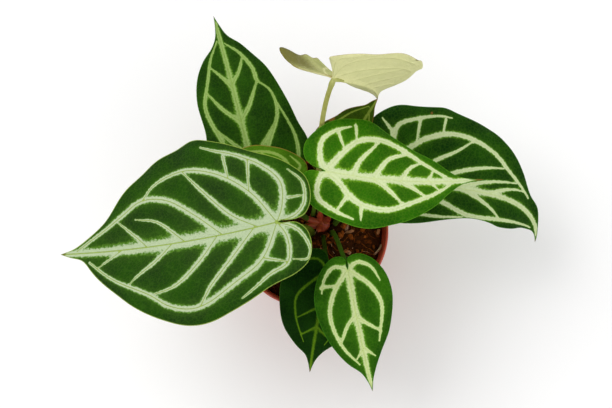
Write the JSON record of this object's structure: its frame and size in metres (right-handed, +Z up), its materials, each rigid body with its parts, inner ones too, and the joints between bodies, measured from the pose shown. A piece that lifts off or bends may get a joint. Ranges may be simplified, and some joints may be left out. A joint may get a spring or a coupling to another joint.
{
  "type": "potted anthurium crystallinum",
  "caption": "Potted aroid house plant: heart-shaped dark green leaves with silver veins on arching stalks and one pale young leaf, in a thin plastic nursery pot of bark mix.",
  "frame": {"origin": "middle of the pot's flat base, on the surface it stands on", "axes": "+Z up, +X to the right and -Y towards the camera of the picture, which looks down on the plant"},
  "size_m": [0.3638, 0.2902, 0.2738],
  "materials": {
    "pot_plastic": "terracotta-red moulded plastic with a soft sheen",
    "potting_mix": "matt dark bark and coir mix",
    "sheath": "papery reddish brown sheath",
    "leaf_green": "velvety dark green leaf with silver-white vein bands",
    "leaf_young": "smooth pale yellow-green young leaf"
  },
  "bodies": {
    "root": {"pot": "pot_plastic", "soil": "potting_mix", "crown": "sheath", "leaf_left_large": "leaf_green", "leaf_right_upper": "leaf_green", "leaf_right_lower": "leaf_green", "leaf_back_left": "leaf_green", "leaf_back_low": "leaf_green", "leaf_hidden_left": "leaf_green", "leaf_front_upper": "leaf_green", "leaf_front_lower": "leaf_green", "leaf_young_pale": "leaf_young"}
  },
  "joints": []
}
